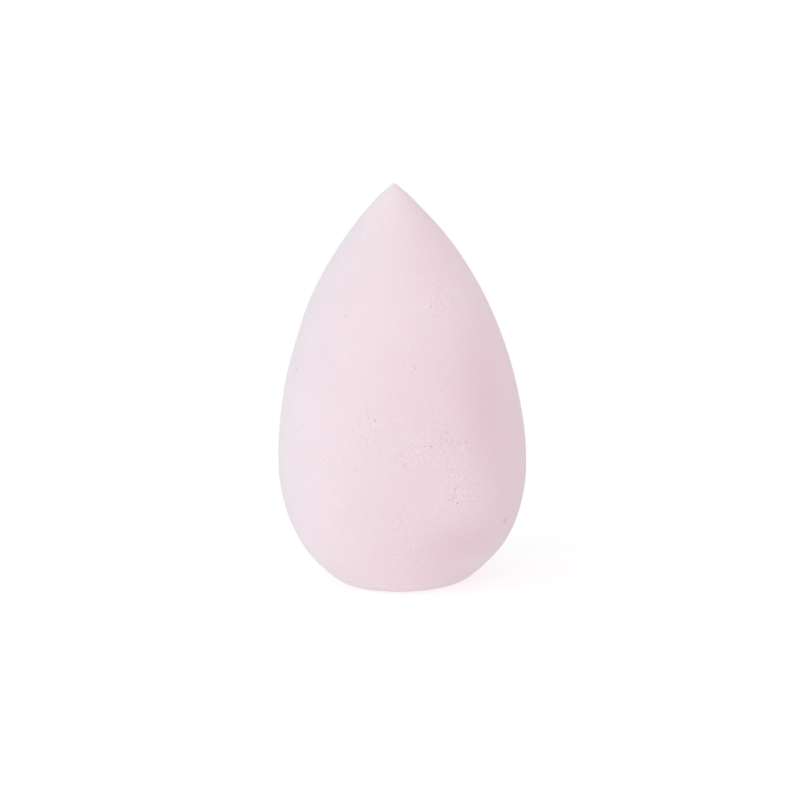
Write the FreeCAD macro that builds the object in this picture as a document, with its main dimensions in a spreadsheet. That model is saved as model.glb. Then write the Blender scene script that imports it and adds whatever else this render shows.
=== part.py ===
"""Teardrop makeup sponge: one piece of moulded foam, pointed at the top, round in the belly and flat underneath.

The foot lies on z = 0 with its centre at the origin, the tip points along +Z, and all sizes are in millimetres.
"""

import FreeCAD, Part
import math
import os
import Sketcher

# Driving dimensions, each with the words that describe it.
SIZES = [
    ("sponge_height", 64.5, "from the foot to the tip"),
    ("sponge_width", 40.0, "across the widest ring of the belly"),
    ("belly_height", 19.6, "of the widest ring above the foot"),
    ("foot_width", 16.0, "across the flat that the sponge stands on"),
    ("foot_edge_radius", 6.0, "of the soft edge round the foot"),
    ("tip_radius", 0.8, "of the rounded point"),
]

# Places on a piece of sketch geometry, as the sketcher numbers them.
START, END, CENTRE = 1, 2, 3
# The sketch's own origin and its vertical axis.
ORIGIN, UPRIGHT = -1, -2


def make_sheet(doc):
    """A spreadsheet with one named cell for each driving dimension."""
    sheet = doc.addObject("Spreadsheet::Sheet", "sizes")
    for row, (name, value, meaning) in enumerate(SIZES, start=1):
        sheet.set(f"A{row}", name)
        sheet.set(f"B{row}", str(value))
        sheet.set(f"C{row}", meaning)
        sheet.setAlias(f"B{row}", name)
    doc.recompute()
    return sheet


def upright_arc(centre_x, centre_y, radius, start_angle, end_angle):
    """An arc of the half outline, drawn anticlockwise from its lower end to its upper end."""
    centre = FreeCAD.Vector(centre_x, centre_y, 0)
    circle = Part.Circle(centre, FreeCAD.Vector(0, 0, 1), radius)
    return Part.ArcOfCircle(circle, start_angle, end_angle)


def outline_geometry(sheet):
    """The half outline as axis, foot, foot edge, belly, flank and tip, each tangent to the next one."""
    half_width = sheet.sponge_width / 2
    half_foot = sheet.foot_width / 2
    edge = sheet.foot_edge_radius
    tip = sheet.tip_radius
    # The belly's arc is upright at the widest ring and rolls into the foot's edge.
    inset = half_width - half_foot
    drop = sheet.belly_height - edge
    belly = (inset**2 + drop**2 - edge**2) / (2 * (inset - edge))
    belly_x = half_width - belly
    edge_angle = math.atan2(-drop, half_foot - belly_x)
    # The flank's arc is upright at the widest ring and closes on the rounded tip.
    rise = sheet.sponge_height - tip - sheet.belly_height
    flank = (half_width**2 + rise**2 - tip**2) / (2 * (half_width - tip))
    flank_x = half_width - flank
    tip_angle = math.atan2(rise, -flank_x)
    origin = FreeCAD.Vector(0, 0, 0)
    summit = FreeCAD.Vector(0, sheet.sponge_height, 0)
    return [
        Part.LineSegment(origin, summit),
        Part.LineSegment(origin, FreeCAD.Vector(half_foot, 0, 0)),
        upright_arc(half_foot, edge, edge, -math.pi / 2, edge_angle),
        upright_arc(belly_x, sheet.belly_height, belly, edge_angle, 0),
        upright_arc(flank_x, sheet.belly_height, flank, 0, tip_angle),
        upright_arc(0, sheet.sponge_height - tip, tip, tip_angle, math.pi / 2),
    ]


def draw_outline(body, sheet):
    """A sketch of the half outline on the body's upright plane, with every size bound to the sheet."""
    sketch = body.newObject("Sketcher::SketchObject", "half_outline")
    plane = next(f for f in body.Origin.OriginFeatures if f.Role == "XZ_Plane")
    sketch.AttachmentSupport = [(plane, "")]
    sketch.MapMode = "FlatFace"
    axis, foot, edge, belly, flank, tip = sketch.addGeometry(outline_geometry(sheet), False)

    def rule(*words):
        return sketch.addConstraint(Sketcher.Constraint(*words))

    def size(formula, *words):
        index = rule(*words)
        sketch.setExpression(f"Constraints[{index}]", formula)

    # The axis and the foot start at the origin, and the axis closes the outline at the tip.
    rule("Coincident", axis, START, ORIGIN, START)
    rule("Coincident", foot, START, ORIGIN, START)
    rule("Vertical", axis)
    rule("Horizontal", foot)
    rule("Coincident", tip, END, axis, END)
    # Foot, edge, belly, flank and tip run into each other with no corner.
    chain = [foot, edge, belly, flank, tip]
    for lower, upper in zip(chain, chain[1:]):
        rule("Tangent", lower, END, upper, START)
    # The widest ring is level with the belly's centre, and the tip is centred on the axis.
    rule("Horizontal", belly, CENTRE, belly, END)
    rule("PointOnObject", tip, CENTRE, UPRIGHT)

    half_width = sheet.sponge_width / 2
    half_foot = sheet.foot_width / 2
    size("sizes.sponge_height", "DistanceY", axis, START, axis, END, sheet.sponge_height)
    size("sizes.sponge_width / 2", "DistanceX", ORIGIN, START, belly, END, half_width)
    size("sizes.belly_height", "DistanceY", ORIGIN, START, belly, END, sheet.belly_height)
    size("sizes.foot_width / 2", "DistanceX", foot, START, foot, END, half_foot)
    size("sizes.foot_edge_radius", "Radius", edge, sheet.foot_edge_radius)
    size("sizes.tip_radius", "Radius", tip, sheet.tip_radius)
    return sketch


def make_sponge_body(doc, sheet):
    """The whole sponge: its half outline turned about the upright axis."""
    body = doc.addObject("PartDesign::Body", "sponge_body")
    body.Label = "sponge_body"
    sketch = draw_outline(body, sheet)
    doc.recompute()
    turned = body.newObject("PartDesign::Revolution", "turned_foam")
    turned.Profile = sketch
    turned.ReferenceAxis = (sketch, ["V_Axis"])
    turned.Angle = 360
    return body


def check_document(doc, bodies):
    """Stops with a message if an object failed or a sub-part has no sound solid."""
    for item in doc.Objects:
        if "Invalid" in item.State or "Error" in item.State:
            raise RuntimeError(f"{item.Label} failed to build: {item.State}")
    for body in bodies:
        if body.Shape.isNull() or not body.Shape.isValid() or body.Shape.Volume <= 0:
            raise RuntimeError(f"{body.Label} has no sound solid")


def write_parts(bodies):
    """Writes one STEP file for each sub-part and prints its size."""
    os.makedirs("parts", exist_ok=True)
    for body in bodies:
        body.Shape.exportStep(os.path.join("parts", body.Label + ".step"))
        box = body.Shape.BoundBox
        print(
            f"{body.Label}: {len(body.Shape.Solids)} solid, "
            f"{box.XLength:.2f} x {box.YLength:.2f} x {box.ZLength:.2f} mm, {body.Shape.Volume:.0f} mm3"
        )


def main():
    doc = FreeCAD.newDocument("makeup_sponge")
    sheet = make_sheet(doc)
    bodies = [make_sponge_body(doc, sheet)]
    doc.recompute()
    check_document(doc, bodies)
    write_parts(bodies)


main()
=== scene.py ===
import math

import bpy
import numpy as np
from mathutils import Matrix, Vector, kdtree, noise


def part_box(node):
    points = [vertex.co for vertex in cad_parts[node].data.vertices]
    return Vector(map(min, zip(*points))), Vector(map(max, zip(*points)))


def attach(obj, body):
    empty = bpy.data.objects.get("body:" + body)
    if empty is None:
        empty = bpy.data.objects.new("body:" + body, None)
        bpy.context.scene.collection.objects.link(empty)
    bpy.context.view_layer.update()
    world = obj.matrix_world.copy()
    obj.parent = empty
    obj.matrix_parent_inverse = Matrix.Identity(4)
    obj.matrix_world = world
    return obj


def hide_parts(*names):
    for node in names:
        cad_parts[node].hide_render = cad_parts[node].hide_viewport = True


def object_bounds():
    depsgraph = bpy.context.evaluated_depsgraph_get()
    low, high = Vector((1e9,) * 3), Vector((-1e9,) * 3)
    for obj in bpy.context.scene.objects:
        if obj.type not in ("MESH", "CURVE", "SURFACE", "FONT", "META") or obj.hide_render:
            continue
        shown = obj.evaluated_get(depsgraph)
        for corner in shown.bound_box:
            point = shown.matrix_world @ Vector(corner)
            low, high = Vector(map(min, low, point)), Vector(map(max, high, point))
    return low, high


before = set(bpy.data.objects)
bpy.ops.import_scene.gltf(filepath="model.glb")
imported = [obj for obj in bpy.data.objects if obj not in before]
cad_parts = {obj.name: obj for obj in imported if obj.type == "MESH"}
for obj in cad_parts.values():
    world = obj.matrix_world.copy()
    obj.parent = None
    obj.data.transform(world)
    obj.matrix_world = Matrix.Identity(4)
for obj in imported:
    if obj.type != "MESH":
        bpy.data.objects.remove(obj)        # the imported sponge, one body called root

mm = 0.001
tiny = 1e-12             # keeps a division from zero
cadLow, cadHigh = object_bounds()
print("frame loaded, CAD box", [round(v, 5) for v in (*cadLow, *cadHigh)])


def freshSelection():
    bpy.ops.object.select_all(action="DESELECT")


def readPoints(piece):
    points = np.empty(len(piece.data.vertices) * 3)
    piece.data.vertices.foreach_get("co", points)
    return points.reshape(-1, 3)


def writePoints(piece, points):
    piece.data.vertices.foreach_set("co", points.ravel())
    piece.data.update()


# the foam's plain form, turned about the upright axis as in the solid
foamForm = {
    "node": "sponge_body",
    "bellyHeight": 19.6 * mm,    # widest ring above the foot
    "footWidth": 16.0 * mm,      # flat that it stands on
    "footEdge": 6.0 * mm,        # soft edge round the foot
    "tipRound": 0.8 * mm,        # point
    "outlineSteps": 400,         # places along each run of the outline
    "cubeCuts": 61,              # cuts along each side of the cube it starts from
    "unevenness": 0.22,          # how far the net of faces is shaken, as a share of a face
    "tipFiner": 8.0,             # how much closer the net lies at the point
    "tipReach": 1.6 * mm,        # and how far down; the swells fade out there too
    "seed": 23,
}


# places along an arc, and which way the skin faces there
def arcRun(centreOut, centreUp, radius, start, end):
    angle = np.linspace(start, end, foamForm["outlineSteps"])
    out = np.cos(angle)
    up = np.sin(angle)
    return np.stack([centreOut + radius * out, centreUp + radius * up, out, up])


def turnedOutline():
    low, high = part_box(foamForm["node"])
    half = (high.x - low.x) / 2
    height = high.z - low.z
    belly = foamForm["bellyHeight"]
    foot = foamForm["footWidth"] / 2
    edge = foamForm["footEdge"]
    tip = foamForm["tipRound"]
    steps = foamForm["outlineSteps"]
    # the belly's arc is upright at the widest ring and rolls into the foot's edge
    inset = half - foot
    drop = belly - edge
    bellyRadius = (inset**2 + drop**2 - edge**2) / (2 * (inset - edge))
    bellyCentre = half - bellyRadius
    edgeAngle = math.atan2(-drop, foot - bellyCentre)
    # the flank's arc is upright at the widest ring and closes on the point
    rise = height - tip - belly
    flankRadius = (half**2 + rise**2 - tip**2) / (2 * (half - tip))
    flankCentre = half - flankRadius
    tipAngle = math.atan2(rise, -flankCentre)
    runs = [
        np.stack([np.linspace(0, foot, steps), np.zeros(steps), np.zeros(steps), -np.ones(steps)]),
        arcRun(foot, edge, edge, -math.pi / 2, edgeAngle),
        arcRun(bellyCentre, belly, bellyRadius, edgeAngle, 0),
        arcRun(flankCentre, belly, flankRadius, 0, tipAngle),
        arcRun(0, height - tip, tip, tipAngle, math.pi / 2),
    ]
    out, up, normalOut, normalUp = np.concatenate(runs, axis=1)
    step = np.hypot(np.diff(out), np.diff(up))
    closer = 1 + foamForm["tipFiner"] * np.exp(-((height - up[1:]) / foamForm["tipReach"])**2)
    area = np.concatenate([[0], np.cumsum(closer * math.pi * (out[1:] + out[:-1]) * step)])
    return {"out": out, "up": up, "normalOut": normalOut, "normalUp": normalUp, "area": area}


# a ball of the same skin area: each place on it stands for one place on the sponge
def ballPlace(outline, turn, up):
    share = np.interp(up, outline["up"], outline["area"]) / outline["area"][-1]
    level = 2 * share - 1
    ring = math.sqrt(1 - level**2)
    return np.array([ring * math.sin(math.radians(turn)), -ring * math.cos(math.radians(turn)), level])


def spongePlace(outline, directions):
    share = (1 + directions[:, 2]) / 2 * outline["area"][-1]
    out = np.interp(share, outline["area"], outline["out"])
    up = np.interp(share, outline["area"], outline["up"])
    normalOut = np.interp(share, outline["area"], outline["normalOut"])
    normalUp = np.interp(share, outline["area"], outline["normalUp"])
    ring = np.maximum(np.hypot(directions[:, 0], directions[:, 1]), tiny)
    aroundX = directions[:, 0] / ring
    aroundY = directions[:, 1] / ring
    places = np.stack([out * aroundX, out * aroundY, up], axis=1)
    normals = np.stack([normalOut * aroundX, normalOut * aroundY, normalUp], axis=1)
    return places, normals


# turn from the front in degrees, to the right
def turnOf(places):
    return np.degrees(np.arctan2(places[:, 0], -places[:, 1]))


def startBall(radius):
    freshSelection()
    bpy.ops.mesh.primitive_cube_add(size=2)
    ball = bpy.context.object
    ball.name = "sponge_foam"
    bpy.ops.object.mode_set(mode="EDIT")
    bpy.ops.mesh.select_all(action="SELECT")
    bpy.ops.mesh.subdivide(number_cuts=foamForm["cubeCuts"])
    bpy.ops.object.mode_set(mode="OBJECT")
    # even angles first, then a shake, so that the pores stand in no rows
    points = np.tan(readPoints(ball) * math.pi / 4)
    points /= np.linalg.norm(points, axis=1, keepdims=True)
    dice = np.random.default_rng(foamForm["seed"])
    faceWidth = math.pi / 2 / (foamForm["cubeCuts"] + 1)
    points += dice.uniform(-1, 1, points.shape) * foamForm["unevenness"] * faceWidth
    points /= np.linalg.norm(points, axis=1, keepdims=True)
    writePoints(ball, points * radius)
    return ball


# pinholes that stand out by themselves: turn in degrees, height in millimetres
pinholes = {
    "seen": [
        (-69, 36), (-53, 27.5), (-36, 22.5), (-35, 45), (-13, 29.5), (1, 22.5), (7, 37.5),
        (11, 25.5), (13.5, 25.5), (21, 27.5), (24.5, 18), (24.5, 46), (26, 15.5), (26, 48), (31, 25.5),
        (61, 11),
    ],
    "unseen": 40,                # more of them, scattered over the sides and the back
    "unseenTurn": 75,            # from this turn on, to either side
    "unseenFrom": 0.5 * mm,
    "unseenTo": 54 * mm,
    "lip": 0.16 * mm,            # from the face's edge to the hole's
    "wall": 0.02 * mm,
    "depth": 0.24 * mm,
    "apart": 0.80 * mm,
    "room": 0.42 * mm,           # least width of a face that takes one
    "wide": [(-69, 36), (61, 11)],    # two are open dimples, wider than the rest
    "wideAcross": 0.36 * mm,
    "wideAlong": 0.20 * mm,
    "wideDepth": 0.34 * mm,
}


def faceCentres(piece):
    centres = np.empty(len(piece.data.polygons) * 3)
    piece.data.polygons.foreach_get("center", centres)
    centres = centres.reshape(-1, 3)
    return centres / np.linalg.norm(centres, axis=1, keepdims=True)


def faceWidths(piece):
    points = readPoints(piece)
    corners = np.empty(len(piece.data.polygons) * 4, dtype=int)
    piece.data.loops.foreach_get("vertex_index", corners)
    quads = points[corners.reshape(-1, 4)]
    return np.linalg.norm(quads - np.roll(quads, 1, axis=1), axis=2).min(axis=1)


def choosePinholes(outline, radius, centres, roomy, dice):
    taken = []
    free = roomy.copy()

    def take(index):
        taken.append(index)
        free[np.linalg.norm(centres - centres[index], axis=1) < pinholes["apart"] / radius] = False

    for turn, up in pinholes["seen"]:
        away = np.linalg.norm(centres - ballPlace(outline, turn, up * mm), axis=1)
        take(int(np.argmin(np.where(roomy, away, np.inf))))
    places = spongePlace(outline, centres)[0]
    aside = np.abs(turnOf(places)) > pinholes["unseenTurn"]
    lowest, highest = pinholes["unseenFrom"], pinholes["unseenTo"]
    for index in dice.permutation(len(centres)):
        if len(taken) == len(pinholes["seen"]) + pinholes["unseen"]:
            break
        if free[index] and aside[index] and lowest < places[index, 2] < highest:
            take(int(index))
    return taken


def sinkFaces(piece, chosen, steps):
    bpy.context.tool_settings.mesh_select_mode = (False, False, True)
    bpy.ops.object.mode_set(mode="EDIT")
    bpy.ops.mesh.select_all(action="DESELECT")
    bpy.ops.object.mode_set(mode="OBJECT")
    flags = np.zeros(len(piece.data.polygons), dtype=bool)
    flags[chosen] = True
    piece.data.polygons.foreach_set("select", flags)
    bpy.ops.object.mode_set(mode="EDIT")
    for thickness, depth in steps:
        bpy.ops.mesh.inset(use_individual=True, thickness=thickness, depth=depth)
    bpy.ops.object.mode_set(mode="OBJECT")


# a soft round spot on the skin, 1 in its middle
def softSpot(places, turn, up, across, along):
    apart = (turnOf(places) - turn + 180) % 360 - 180
    aside = np.radians(apart) * np.hypot(places[:, 0], places[:, 1]) / across
    above = (places[:, 2] - up) / along
    return np.exp(-(aside**2 + above**2) / 2)


def sumOfSpots(places, rows):
    total = np.zeros(len(places))
    for turn, up, across, along, much in rows:
        total += much * softSpot(places, turn, up * mm, across * mm, along * mm)
    return total


def slowNoise(places, length):
    return np.array([noise.noise(Vector(place) / length) for place in places])


# fine shallow pits, crowded in patches and rare elsewhere
finePits = {
    "count": 1800,
    "depth": 0.15 * mm,
    "leastShare": 0.4,           # the shallowest has the square of this share of the depth
    "spread": 0.13 * mm,
    "reach": 3,                  # how far out a pit is followed, in spreads
    "patchWeight": 45.0,         # how much thicker they lie in the middle of a patch
    "patchLength": 2.2 * mm,     # how fast a patch comes and goes within itself
    "patches": [                 # turn in degrees, height and spread in millimetres, and how much
        (28, 47.5, 1.9, 0.9), (9, 37.5, 2.0, 0.45), (15, 32.5, 2.0, 0.15),
        (-14, 30, 2.6, 0.45), (-17, 25, 3.0, 0.35), (-35, 21, 2.4, 0.22),
        (3, 22.8, 1.9, 0.85), (18, 25.2, 2.4, 0.9), (27, 22, 2.6, 0.7),
        (27, 16.5, 1.7, 1.1), (34, 18.5, 2.0, 0.45), (5, 11.2, 3.5, 0.70),
        (-14, 12.5, 3.2, 0.25), (-33, 16.5, 2.4, 0.15),
        (110, 30, 4.0, 0.8), (150, 18, 3.0, 1.0), (-160, 42, 3.0, 0.6),
        (-120, 25, 4.0, 0.9), (-95, 12, 3.0, 0.6),
    ],
}


def brokenSkin(places):
    rows = [(turn, up, spread, spread, much) for turn, up, spread, much in finePits["patches"]]
    return sumOfSpots(places, rows) * (1 + slowNoise(places, finePits["patchLength"]))


def pitDepths(places, openCells, dice):
    tree = kdtree.KDTree(len(places))
    for index, place in enumerate(places):
        tree.insert(place, index)
    tree.balance()
    count = finePits["count"]
    spread = finePits["spread"]
    weight = 1 + finePits["patchWeight"] * openCells
    chosen = dice.choice(len(places), count, replace=False, p=weight / weight.sum())
    # beside the net's points and not on them, so that they stand in no rows; most are shallow
    middles = places[chosen] + dice.normal(0, spread, (count, 3))
    depths = finePits["depth"] * dice.uniform(finePits["leastShare"], 1, count)**2
    sunk = np.zeros(len(places))
    for middle, depth in zip(middles, depths):
        for place, index, away in tree.find_range(middle, finePits["reach"] * spread):
            sunk[index] = max(sunk[index], depth * math.exp(-(away / spread)**2 / 2))
    return sunk


# unevenness of the skin as a whole; the swells and hollows are those of squeezed foam
foamSkin = {
    "ripple": 0.07 * mm,         # slow unevenness, and its length
    "rippleLength": 9 * mm,
    "nib": 0.24 * mm,            # the point's small soft nib, and its width
    "nibWidth": 0.42 * mm,
    "footFade": 1.0 * mm,        # height in which the swells fade out towards the flat foot
    "swells": [                  # turn in degrees, the rest in millimetres: height, across, along, push
        (-90, 58, 6.0, 5.0, 0.28),
        (90, 54, 6.0, 7.0, 0.24),
        (-90, 46.5, 7.0, 3.5, 0.26),
        (-90, 40, 7.0, 3.5, -0.10),
        (-90, 24, 7.0, 5.0, -0.10),
        (-62, 7, 6.0, 4.0, 0.18),
        (56, 32, 5.0, 8.0, -0.35),
        (26, 16, 5.0, 4.0, 0.30),
        (28, 8, 4.5, 2.5, -0.40),
        (82, 8, 6.0, 4.0, 0.14),
        (46, 1.8, 4.5, 2.0, -0.95),
        (66, 3, 3.0, 2.0, -0.22),
        (-60, 2, 5.0, 2.0, -0.24),
        (12, 0.8, 3.6, 1.2, 0.60),
        (30, 47, 5.0, 5.0, 0.16),
        (165, 34, 7.0, 8.0, -0.30),
        (-140, 14, 8.0, 5.0, 0.22),
    ],
}

# spots of painted shade and painted light, and of uneven tone, on the skin: turn in degrees, height,
# across and along in millimetres, and how much
foamTints = {
    "paintedShadingAndTint": [                   # painted shade as pinker patches, and painted light as paler ones where it is less than nothing; those on the back are uneven tone
        (54, 23, 8.0, 14.0, 0.17),
        (47, 33, 3.0, 7.5, 0.34),
        (30, 8.3, 3.6, 2.0, 0.56),
        (28, 16.5, 4.0, 4.0, -0.55),
        (36, 45.5, 4.5, 5.0, -0.48),
        (14, 24.5, 4.5, 3.2, -0.20),
        (1, 8.8, 4.0, 3.5, -0.28),
        (-13, 18, 5.0, 6.0, 0.06),
        (0, 36, 2.0, 3.0, 0.20),
        (-26, 37.5, 3.5, 6.0, 0.14),
        (-56, 7, 4.5, 4.0, -0.38),
        (-75, 24, 4.0, 9.0, -0.15),
        (0, 63, 4.0, 3.0, -0.45),
        (140, 38, 4.0, 7.0, 0.35),
        (-130, 15, 5.0, 4.0, 0.35),
        (165, 14, 5.0, 5.0, -0.35),
        (-110, 42, 4.0, 5.0, -0.25),
    ],
    "paintedShadeAndTone": [                    # painted shade as darker patches, and a painted contact shade along the foot's front edge; those on the back are uneven tone
        (-8, 22, 6.0, 9.0, 0.32),
        (-14, 13, 5.0, 5.0, 0.20),
        (46, 28, 3.0, 8.0, 0.22),
        (33, 8.5, 5.0, 2.6, 0.34),
        (28, 0.2, 5.0, 0.35, 0.65),
        (125, 20, 7.0, 8.0, 0.25),
        (-150, 30, 6.0, 9.0, 0.20),
    ],
}


def skinPush(places, top):
    push = foamSkin["ripple"] * slowNoise(places, foamSkin["rippleLength"])
    push += mm * sumOfSpots(places, foamSkin["swells"])
    # the foot stays flat where it stands, and the point stays where it is
    push *= np.clip(places[:, 2] / foamSkin["footFade"], 0, 1)
    push *= np.clip((top - places[:, 2]) / foamForm["tipReach"], 0, 1)
    return push


def nibRise(places):
    ring = np.hypot(places[:, 0], places[:, 1])
    upperHalf = places[:, 2] > foamForm["bellyHeight"]
    return foamSkin["nib"] * np.exp(-(ring / foamSkin["nibWidth"])**2 / 2) * upperHalf


def pullToSponge(ball, outline, radius, dice):
    points = readPoints(ball)
    reach = np.linalg.norm(points, axis=1)
    places, normals = spongePlace(outline, points / reach[:, None])
    openCells = brokenSkin(places)
    sunk = np.maximum(np.maximum(radius - reach, 0), pitDepths(places, openCells, dice))
    for turn, up in pinholes["wide"]:
        dimple = softSpot(places, turn, up * mm, pinholes["wideAcross"], pinholes["wideAlong"])
        sunk = np.maximum(sunk, pinholes["wideDepth"] * dimple)
    push = skinPush(places, outline["up"].max())
    shaped = places + normals * (push - sunk)[:, None]
    shaped[:, 2] += nibRise(places)
    writePoints(ball, shaped)
    # what the material reads, point by point, including the painted shade and light patches
    paint = {
        # how deep each point is sunk, which the material turns into painted shade
        "poreDepth": np.clip(sunk / pinholes["depth"], 0, 1),
        "openCells": openCells,
        "paintedShadingAndTint": sumOfSpots(places, foamTints["paintedShadingAndTint"]),
        "paintedShadeAndTone": sumOfSpots(places, foamTints["paintedShadeAndTone"]),
    }
    for name, values in paint.items():
        layer = ball.data.attributes.new(name, "FLOAT", "POINT")
        layer.data.foreach_set("value", values.astype(np.float32))


def makeSponge():
    outline = turnedOutline()
    radius = math.sqrt(outline["area"][-1] / (4 * math.pi))
    ball = startBall(radius)
    dice = np.random.default_rng(foamForm["seed"] + 1)
    roomy = faceWidths(ball) > pinholes["room"]
    holes = choosePinholes(outline, radius, faceCentres(ball), roomy, dice)
    halfWay = (pinholes["wall"], -pinholes["depth"] / 2)
    sinkFaces(ball, holes, [(pinholes["lip"], 0), halfWay, halfWay])
    rounding = ball.modifiers.new("rounding", "SUBSURF")
    rounding.levels = 1
    rounding.render_levels = 1
    bpy.ops.object.modifier_apply(modifier=rounding.name)
    pullToSponge(ball, outline, radius, dice)
    bpy.ops.object.shade_smooth()
    print("foam modelled:", len(holes), "pinholes,", len(ball.data.polygons), "faces")
    return ball


# shader helpers: a value is another node's output, or a plain number or colour
mixFirst, mixSecond, mixResult = 6, 7, 2        # the colour sockets of a Mix node


def addNode(tree, kind, place, **settings):
    node = tree.nodes.new(kind)
    node.location = place
    for name, value in settings.items():
        setattr(node, name, value)
    return node


def feed(tree, socket, value):
    if isinstance(value, bpy.types.NodeSocket):
        tree.links.new(value, socket)
    elif socket.type == "RGBA":
        socket.default_value = (*value, 1)
    else:
        socket.default_value = value


def feedAll(tree, sockets, values):
    for socket, value in zip(sockets, values):
        feed(tree, socket, value)


def feedNamed(tree, node, values):
    for name, value in values.items():
        feed(tree, node.inputs[name], value)


def compute(tree, place, operation, *values):
    node = addNode(tree, "ShaderNodeMath", place, operation=operation)
    feedAll(tree, node.inputs, values)
    return node.outputs["Value"]


def computeVector(tree, place, operation, *values):
    node = addNode(tree, "ShaderNodeVectorMath", place, operation=operation)
    feedAll(tree, node.inputs, values)
    return node


def spreadOf(tree, place, value, fromRange=(0, 1), toRange=(0, 1), way="LINEAR"):
    node = addNode(tree, "ShaderNodeMapRange", place, interpolation_type=way)
    ends = (*fromRange, *toRange)
    names = ("From Min", "From Max", "To Min", "To Max")
    feedNamed(tree, node, {"Value": value, **dict(zip(names, ends))})
    return node.outputs["Result"]


def mixColour(tree, place, factor, first, second, way="MIX"):
    node = addNode(tree, "ShaderNodeMix", place, data_type="RGBA", blend_type=way)
    feed(tree, node.inputs["Factor"], factor)
    feed(tree, node.inputs[mixFirst], first)
    feed(tree, node.inputs[mixSecond], second)
    return node.outputs[mixResult]


def mixShader(tree, place, factor, first, second):
    node = addNode(tree, "ShaderNodeMixShader", place)
    feedAll(tree, node.inputs, (factor, first, second))
    return node.outputs["Shader"]


def noiseTexture(tree, place, where, scale, detail, roughness=0.5):
    node = addNode(tree, "ShaderNodeTexNoise", place)
    feedNamed(tree, node, {"Vector": where, "Scale": scale, "Detail": detail, "Roughness": roughness})
    return node


def cellTexture(tree, place, where, scale):
    node = addNode(tree, "ShaderNodeTexVoronoi", place, feature="F1")
    feedNamed(tree, node, {"Vector": where, "Scale": scale})
    return node


def newGroup(name, inputs, outputs):
    group = bpy.data.node_groups.new(name, "ShaderNodeTree")
    for label, kind in inputs:
        group.interface.new_socket(label, in_out="INPUT", socket_type=kind)
    for label, kind in outputs:
        group.interface.new_socket(label, in_out="OUTPUT", socket_type=kind)
    start = addNode(group, "NodeGroupInput", (-800, 0))
    end = addNode(group, "NodeGroupOutput", (600, 0))
    return group, start, end


def newMaterial(name):
    material = bpy.data.materials.new(name)
    material.use_nodes = True
    material.node_tree.nodes.clear()
    return material, material.node_tree


def finishMaterial(tree, shader):
    end = addNode(tree, "ShaderNodeOutputMaterial", (650, 100))
    feed(tree, end.inputs["Surface"], shader)


foamLook = {
    "pale": (0.900, 0.718, 0.784),      # most of the skin
    "pink": (0.885, 0.696, 0.765),      # slow drift towards a warmer pink
    "pinkerShadeAndTint": (0.895, 0.605, 0.695),   # patches that are pinker still: painted shade, and tone on the back
    "palerLightAndTint": (0.925, 0.785, 0.838),  # patches that are paler: painted light, and tone on the back
    "darkerShadeAndTone": (0.800, 0.640, 0.705),    # patches that are darker: painted shade, and tone on the back
    "shadedPore": (0.785, 0.600, 0.670),      # painted shade inside the pinholes and pits
    "poreFrom": 0.25,                   # how deep in a pinhole or pit its painted shade starts
    "openCellShade": (0.700, 0.525, 0.595),  # painted shade in the smallest pores, where the skin is broken
    "openShare": 0.35,                  # how many of the cells are open in the middle of a patch
    "openWidth": (0.17, 0.48),          # width of an open cell, as a share of the cell
    "openRim": 0.04,                    # how near its middle it is fully dark
    "openLeast": 0.35,                  # darkness of the faintest
    "openWobble": 0.15 * mm,            # how far they are pulled out of round
    "grain": 0.005,                     # light and dark of the whole skin's grain
    "tornLightAndShade": 0.055,                 # painted light and shade of the torn relief where the skin is broken
    "tornStretch": (1.0, 1.0, 0.55),    # the torn grain runs upright
    "tornRange": (0.32, 0.68),          # part of the noise that is spread from dark to light
    "driftRange": (0.3, 0.7),
    "driftRoughness": 0.55,
    "skinDetail": 3,                    # finer layers in each noise
    "tornDetail": 1,
    "driftDetail": 4,
    "tearsPerMetre": 4400,
    "cellsPerMetre": 4200,
    "poresPerMetre": 2400,
    "driftPerMetre": 150,
    "cellRelief": 0.8,                  # share of the skin's cells in its bump
    "bump": 0.48,
    "bumpDepth": 0.06 * mm,
    "surface": {                        # soft, hardly shiny, with light that enters a little
        "Roughness": 0.9,
        "Specular IOR Level": 0.2,
        "Sheen Weight": 0.25,
        "Sheen Tint": (0.88, 1, 1),
        "Sheen Roughness": 0.5,
        "Subsurface Weight": 0.25,
        "Subsurface Radius": (1.0, 0.55, 0.6),
        "Subsurface Scale": 1.2 * mm,
    },
}
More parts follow.
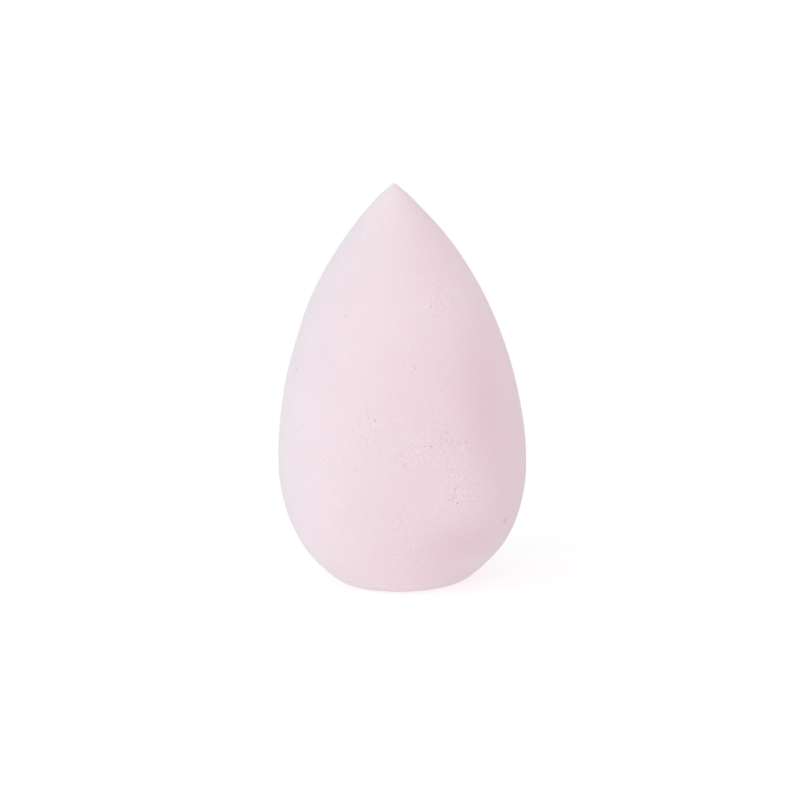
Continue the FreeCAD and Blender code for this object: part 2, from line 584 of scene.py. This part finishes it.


# fine cells of the moulded skin, torn grain and single open cells where the skin is broken, and a slow
# drift of colour; the torn grain and the open cells also carry painted light and shade
def foamCellsGroup():
    inputs = [("Vector", "NodeSocketVector")]
    inputs += [(label, "NodeSocketFloat") for label in ("Cells", "Pores", "Tears", "Drift", "Open")]
    outputs = [(label, "NodeSocketFloat") for label in ("Height", "Pore", "Torn", "Mottle")]
    group, start, end = newGroup("foamCells", inputs, outputs)
    where = start.outputs["Vector"]
    broken = start.outputs["Open"]
    perMetre = start.outputs
    cells = cellTexture(group, (-600, 300), where, perMetre["Cells"])
    grain = noiseTexture(group, (-600, 50), where, perMetre["Cells"], foamLook["skinDetail"])
    wobble = (foamLook["openWobble"],) * 3
    pulled = computeVector(group, (-800, -250), "MULTIPLY_ADD", grain.outputs["Color"], wobble, where)
    pores = cellTexture(group, (-600, -200), pulled.outputs["Vector"], perMetre["Pores"])
    upright = computeVector(group, (-800, -650), "MULTIPLY", where, foamLook["tornStretch"])
    tears = noiseTexture(group, (-600, -750), upright.outputs["Vector"], perMetre["Tears"],
                         foamLook["tornDetail"])
    drift = noiseTexture(group, (-600, -500), where, perMetre["Drift"],
                         foamLook["driftDetail"], foamLook["driftRoughness"])
    # a pore is the middle of a cell, and each cell has its own size and its own chance of being open
    chance = addNode(group, "ShaderNodeSeparateColor", (-400, -350))
    feed(group, chance.inputs["Color"], pores.outputs["Color"])
    width = spreadOf(group, (-200, -450), chance.outputs["Green"], toRange=foamLook["openWidth"])
    middle = spreadOf(group, (-150, -150), pores.outputs["Distance"],
                      fromRange=(width, foamLook["openRim"]), way="SMOOTHSTEP")
    isOpen = compute(group, (-150, -350), "GREATER_THAN", broken, chance.outputs["Red"])
    dark = spreadOf(group, (50, -450), chance.outputs["Blue"], toRange=(foamLook["openLeast"], 1))
    opened = compute(group, (50, -300), "MULTIPLY", isOpen, dark)
    # the pore's mask sinks the bump and carries the painted shade of the open cells
    shadedPore = compute(group, (50, -150), "MULTIPLY", middle, opened)
    torn = spreadOf(group, (-350, -750), tears.outputs["Fac"], fromRange=foamLook["tornRange"])
    skin = compute(group, (-350, 200), "MULTIPLY_ADD",
                   cells.outputs["Distance"], foamLook["cellRelief"], grain.outputs["Fac"])
    rough = compute(group, (-150, 100), "MULTIPLY_ADD", torn, broken, skin)
    height = compute(group, (250, 100), "SUBTRACT", rough, shadedPore)
    mottle = spreadOf(group, (-350, -550), drift.outputs["Fac"], fromRange=foamLook["driftRange"])
    feedNamed(group, end, {"Height": height, "Pore": shadedPore, "Torn": torn, "Mottle": mottle})
    return group


def foamMaterial():
    material, tree = newMaterial("palePinkFoam")
    coords = addNode(tree, "ShaderNodeTexCoord", (-1400, 0))
    painted = {}
    for row, name in enumerate(("paintedShadeAndTone", "paintedShadingAndTint", "poreDepth", "openCells")):
        node = addNode(tree, "ShaderNodeAttribute", (-1150, 600 - 300 * row), attribute_name=name)
        painted[name] = node.outputs["Fac"]
    fullyOpen = 1 / foamLook["openShare"]
    cells = addNode(tree, "ShaderNodeGroup", (-700, -100), node_tree=foamCellsGroup())
    feedNamed(tree, cells, {
        "Vector": coords.outputs["Object"],
        "Cells": foamLook["cellsPerMetre"],
        "Pores": foamLook["poresPerMetre"],
        "Tears": foamLook["tearsPerMetre"],
        "Drift": foamLook["driftPerMetre"],
        "Open": spreadOf(tree, (-900, -650), painted["openCells"], fromRange=(0, fullyOpen)),
    })
    pinker = spreadOf(tree, (-900, 400), painted["paintedShadingAndTint"])
    paler = spreadOf(tree, (-900, 250), painted["paintedShadingAndTint"], fromRange=(0, -1))
    poreShadeMask = spreadOf(tree, (-900, -300), painted["poreDepth"], fromRange=(foamLook["poreFrom"], 1))
    grainAndTornShading = spreadOf(tree, (-900, -500), painted["openCells"],
                        toRange=(foamLook["grain"], foamLook["tornLightAndShade"]))
    skin = mixColour(tree, (-500, 300), cells.outputs["Mottle"], foamLook["pale"], foamLook["pink"])
    # painted shade as pinker patches, then painted light as paler ones
    skin = mixColour(tree, (-350, 300), pinker, skin, foamLook["pinkerShadeAndTint"])
    skin = mixColour(tree, (-200, 300), paler, skin, foamLook["palerLightAndTint"])
    # painted shade as darker patches and along the foot's front edge
    skin = mixColour(tree, (-50, 300), painted["paintedShadeAndTone"], skin, foamLook["darkerShadeAndTone"])
    # painted light and shade of the torn relief where the skin is broken, plain grain elsewhere
    skin = mixColour(tree, (100, 300), grainAndTornShading, skin, cells.outputs["Torn"], "LINEAR_LIGHT")
    # painted shade in the open cells
    skin = mixColour(tree, (100, 100), cells.outputs["Pore"], skin, foamLook["openCellShade"])
    # painted shade in the pinholes and pits, darker where deeper
    skin = mixColour(tree, (100, -100), poreShadeMask, skin, foamLook["shadedPore"])
    bump = addNode(tree, "ShaderNodeBump", (100, -300))
    feedNamed(tree, bump, {
        "Strength": foamLook["bump"],
        "Distance": foamLook["bumpDepth"],
        "Height": cells.outputs["Height"],
    })
    foam = addNode(tree, "ShaderNodeBsdfPrincipled", (350, 100))
    feedNamed(tree, foam, foamLook["surface"])
    feedNamed(tree, foam, {"Base Color": skin, "Normal": bump.outputs["Normal"]})
    finishMaterial(tree, foam.outputs["BSDF"])
    return material


# floor, backdrop and light: a white sweep of paper with a soft shadow near the foot
studio = {
    "floorWidth": 8,
    "paper": (0.55, 0.55, 0.55),
    "shadowReach": (0.05, 0.16),   # where the paper's shadow fades into plain white
    "paperFill": 0.55,             # light added to the paper for the camera alone
    "ambient": 0.775,
    "white": (1, 1, 1),
}

# the window is a little cool and the front a little warm; the last one stands for light off the paper
lamps = {
    "leftWindow": {
        "place": (-0.50, -0.32, 0.30), "size": 0.50, "power": 0.82, "colour": (0.36, 1.0, 0.92),
    },
    "frontFill": {
        "place": (-0.05, -0.80, 0.40), "size": 0.50, "power": 1.295, "colour": (1.0, 0.852, 0.776),
    },
    "paperGlow": {
        "place": (-0.28, -0.23, -0.37), "size": 0.50, "power": 0.38, "colour": (1.0, 0.86, 0.88),
    },
}

# where the picture was taken from
photoView = {
    "aim": (-0.07 * mm, 0, 29.66 * mm),
    "distance": 0.70,
    "elevation": 9.0,
    "roll": 1.75,
    "lens": 195.8,
    "sensor": 36,
}


def seenDirectly(tree, left, height):
    rays = addNode(tree, "ShaderNodeLightPath", (left, height)).outputs
    either = compute(tree, (left + 200, height), "MAXIMUM",
                     rays["Is Camera Ray"], rays["Is Glossy Ray"])
    return compute(tree, (left + 400, height), "MAXIMUM", either, rays["Is Transmission Ray"])


def paperMaterial():
    material, tree = newMaterial("whitePaper")
    paper = addNode(tree, "ShaderNodeBsdfDiffuse", (-200, 200))
    feed(tree, paper.inputs["Color"], studio["paper"])
    fill = addNode(tree, "ShaderNodeEmission", (-200, 0))
    feed(tree, fill.inputs["Strength"], studio["paperFill"])
    lifted = addNode(tree, "ShaderNodeAddShader", (50, 100))
    feedAll(tree, lifted.inputs, (paper.outputs["BSDF"], fill.outputs["Emission"]))
    white = addNode(tree, "ShaderNodeEmission", (50, -100))
    coords = addNode(tree, "ShaderNodeTexCoord", (-600, -250))
    reach = computeVector(tree, (-400, -250), "LENGTH", coords.outputs["Object"])
    fade = spreadOf(tree, (-200, -250), reach.outputs["Value"], studio["shadowReach"], way="SMOOTHSTEP")
    seen = mixShader(tree, (250, 0), fade, lifted.outputs["Shader"], white.outputs["Emission"])
    choice = mixShader(tree, (450, 100), seenDirectly(tree, -400, 450), paper.outputs["BSDF"], seen)
    finishMaterial(tree, choice)
    return material


def makeFloor():
    freshSelection()
    bpy.ops.mesh.primitive_plane_add(size=studio["floorWidth"])
    floor = bpy.context.object
    floor.name = "paper_floor"
    floor.data.materials.append(paperMaterial())
    # the white room lights the foam from below too, and the paper still takes its shadow
    floor.visible_diffuse = False
    floor.visible_shadow = False


def lightWorld():
    world = bpy.data.worlds.new("whiteRoom")
    bpy.context.scene.world = world
    world.use_nodes = True
    tree = world.node_tree
    tree.nodes.clear()
    room = addNode(tree, "ShaderNodeBackground", (0, 100))
    feedNamed(tree, room, {"Color": studio["white"], "Strength": studio["ambient"]})
    white = addNode(tree, "ShaderNodeBackground", (0, -100))
    feed(tree, white.inputs["Color"], studio["white"])
    choice = mixShader(tree, (250, 0), seenDirectly(tree, -600, 300),
                       room.outputs["Background"], white.outputs["Background"])
    end = addNode(tree, "ShaderNodeOutputWorld", (450, 0))
    feed(tree, end.inputs["Surface"], choice)


def hangLamps():
    middle = (cadLow + cadHigh) / 2
    for name, lamp in lamps.items():
        freshSelection()
        bpy.ops.object.light_add(type="AREA", location=lamp["place"])
        light = bpy.context.object
        light.name = name
        light.data.shape = "DISK"
        light.data.size = lamp["size"]
        light.data.energy = lamp["power"]
        light.data.color = lamp["colour"]
        light.rotation_euler = (middle - light.location).to_track_quat("-Z", "Y").to_euler()


def setCamera():
    freshSelection()
    rise = math.radians(photoView["elevation"])
    back = Vector((0, -math.cos(rise), math.sin(rise)))
    place = Vector(photoView["aim"]) + back * photoView["distance"]
    bpy.ops.object.camera_add(location=place)
    camera = bpy.context.object
    level = (-back).to_track_quat("-Z", "Y").to_matrix()
    tilt = Matrix.Rotation(math.radians(-photoView["roll"]), 3, "Z")
    camera.rotation_euler = (level @ tilt).to_euler()
    camera.data.lens = photoView["lens"]
    camera.data.sensor_width = photoView["sensor"]
    bpy.context.scene.camera = camera


sponge = makeSponge()
sponge.data.materials.append(foamMaterial())
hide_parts(foamForm["node"])
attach(sponge, "root")
print("foam dressed")

makeFloor()
lightWorld()
hangLamps()
setCamera()
bpy.context.scene.view_settings.view_transform = "Standard"
print("studio lit")
